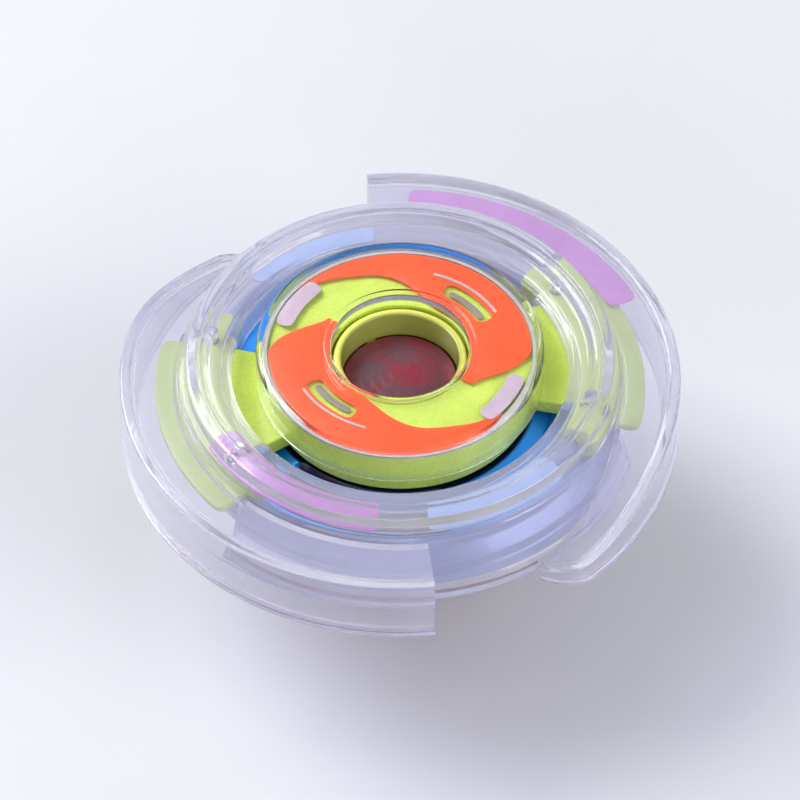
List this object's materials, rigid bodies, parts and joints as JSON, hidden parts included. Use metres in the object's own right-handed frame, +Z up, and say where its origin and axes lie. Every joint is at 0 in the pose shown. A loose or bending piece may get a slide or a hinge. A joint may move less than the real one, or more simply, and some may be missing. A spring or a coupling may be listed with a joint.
{
  "type": "light-up spinning top",
  "caption": "Small battle spinning top with a clear winged attack ring, metal disc and a lit driver that runs on a free-spinning bearing tip.",
  "frame": {"origin": "on the spin axis, where the flat foot of the tip meets the ground", "axes": "+Z up along the spin axis; +X through the centre of one button cell, which is 11 degrees clockwise, from above, of the middle of a lime arm of the layer"},
  "size_m": [0.048, 0.048, 0.0243],
  "materials": {
    "acetal": "moulded, slightly waxy gloss",
    "polished_steel": "ground and polished",
    "red_case": "translucent moulded gloss",
    "cell_can": "nickel-plated",
    "contact_nickel": "stamped strip",
    "board": "solder-masked",
    "led_red_epoxy": "cast, clear",
    "led_green_epoxy": "cast, clear",
    "led_blue_epoxy": "cast, clear",
    "black_epoxy": "dropped resin",
    "switch_brass": "turned and stamped",
    "screw_steel": "zinc-plated",
    "red_lens": "translucent, polished",
    "nylon": "moulded",
    "spring_steel": "drawn wire",
    "clear_polycarbonate": "moulded, polished, clear",
    "clear_cover": "moulded, polished, clear",
    "lime_plastic": "moulded satin gloss",
    "yellow_plastic": "moulded gloss",
    "orange_film": "printed film",
    "purple_film": "printed film",
    "blue_film": "printed tinted film",
    "blue_anodised": "metallic blue lacquer on zinc"
  },
  "bodies": {
    "tip": {"tip": "acetal", "tip_shaft": "polished_steel", "shaft_clip": "polished_steel", "bearing_inner_race": "polished_steel"},
    "ball_cage": {"bearing_ball_cage": "polished_steel"},
    "driver": {"driver_base": "red_case", "driver_cover": "red_case", "bearing_outer_race": "polished_steel", "button_cell_1": "cell_can", "button_cell_2": "cell_can", "button_cell_3": "cell_can", "cell_contact_strip": "contact_nickel", "led_board": "board", "led_red": "led_red_epoxy", "led_green": "led_green_epoxy", "led_blue": "led_blue_epoxy", "flasher_chip": "black_epoxy", "switch_post": "switch_brass", "switch_contact": "switch_brass", "case_screw_1": "screw_steel", "case_screw_2": "screw_steel", "case_screw_3": "screw_steel", "lens_cap": "red_lens", "lock_spring": "spring_steel"},
    "switch_lever": {"switch_lever": "switch_brass"},
    "lock_ring": {"lock_ring": "nylon"},
    "layer": {"attack_ring": "clear_polycarbonate", "hub_cover": "clear_cover", "color_frame": "lime_plastic", "center_collar": "yellow_plastic", "metal_disc": "blue_anodised", "orange_decal_1": "orange_film", "orange_decal_2": "orange_film", "purple_decal_1": "purple_film", "purple_decal_2": "purple_film", "blue_decal_1": "blue_film", "blue_decal_2": "blue_film", "frame_screw_1": "screw_steel", "frame_screw_2": "screw_steel", "frame_screw_3": "screw_steel", "frame_screw_4": "screw_steel"}
  },
  "joints": [
    {"name": "tip_spin", "type": "hinge", "parent": "tip", "child": "driver", "pos_m": [0, 0, 0], "axis": [0, 0, 1], "continuous": true},
    {"name": "cage_spin", "type": "hinge", "parent": "tip", "child": "ball_cage", "pos_m": [0, 0, 0], "axis": [0, 0, 1], "continuous": true},
    {"name": "twist_lock", "type": "hinge", "parent": "driver", "child": "layer", "pos_m": [0, 0, 0], "axis": [0, 0, 1], "range_deg": [0, 60]},
    {"name": "lock_ring_press", "type": "slide", "parent": "driver", "child": "lock_ring", "axis": [0, 0, 1], "range_m": [-0.001, 0], "stiffness_N_per_m": 300, "springref_m": 0.001, "deforming": ["lock_spring"]},
    {"name": "switch_swing", "type": "hinge", "parent": "driver", "child": "switch_lever", "pos_m": [-0.0062, -0.0022, 0.011], "axis": [0, 0, 1], "range_deg": [0, 12], "stiffness_Nm_per_rad": 0.0005}
  ],
  "couplings": [
    {"joint": "cage_spin", "follows": "tip_spin", "ratio": 0.605}
  ]
}
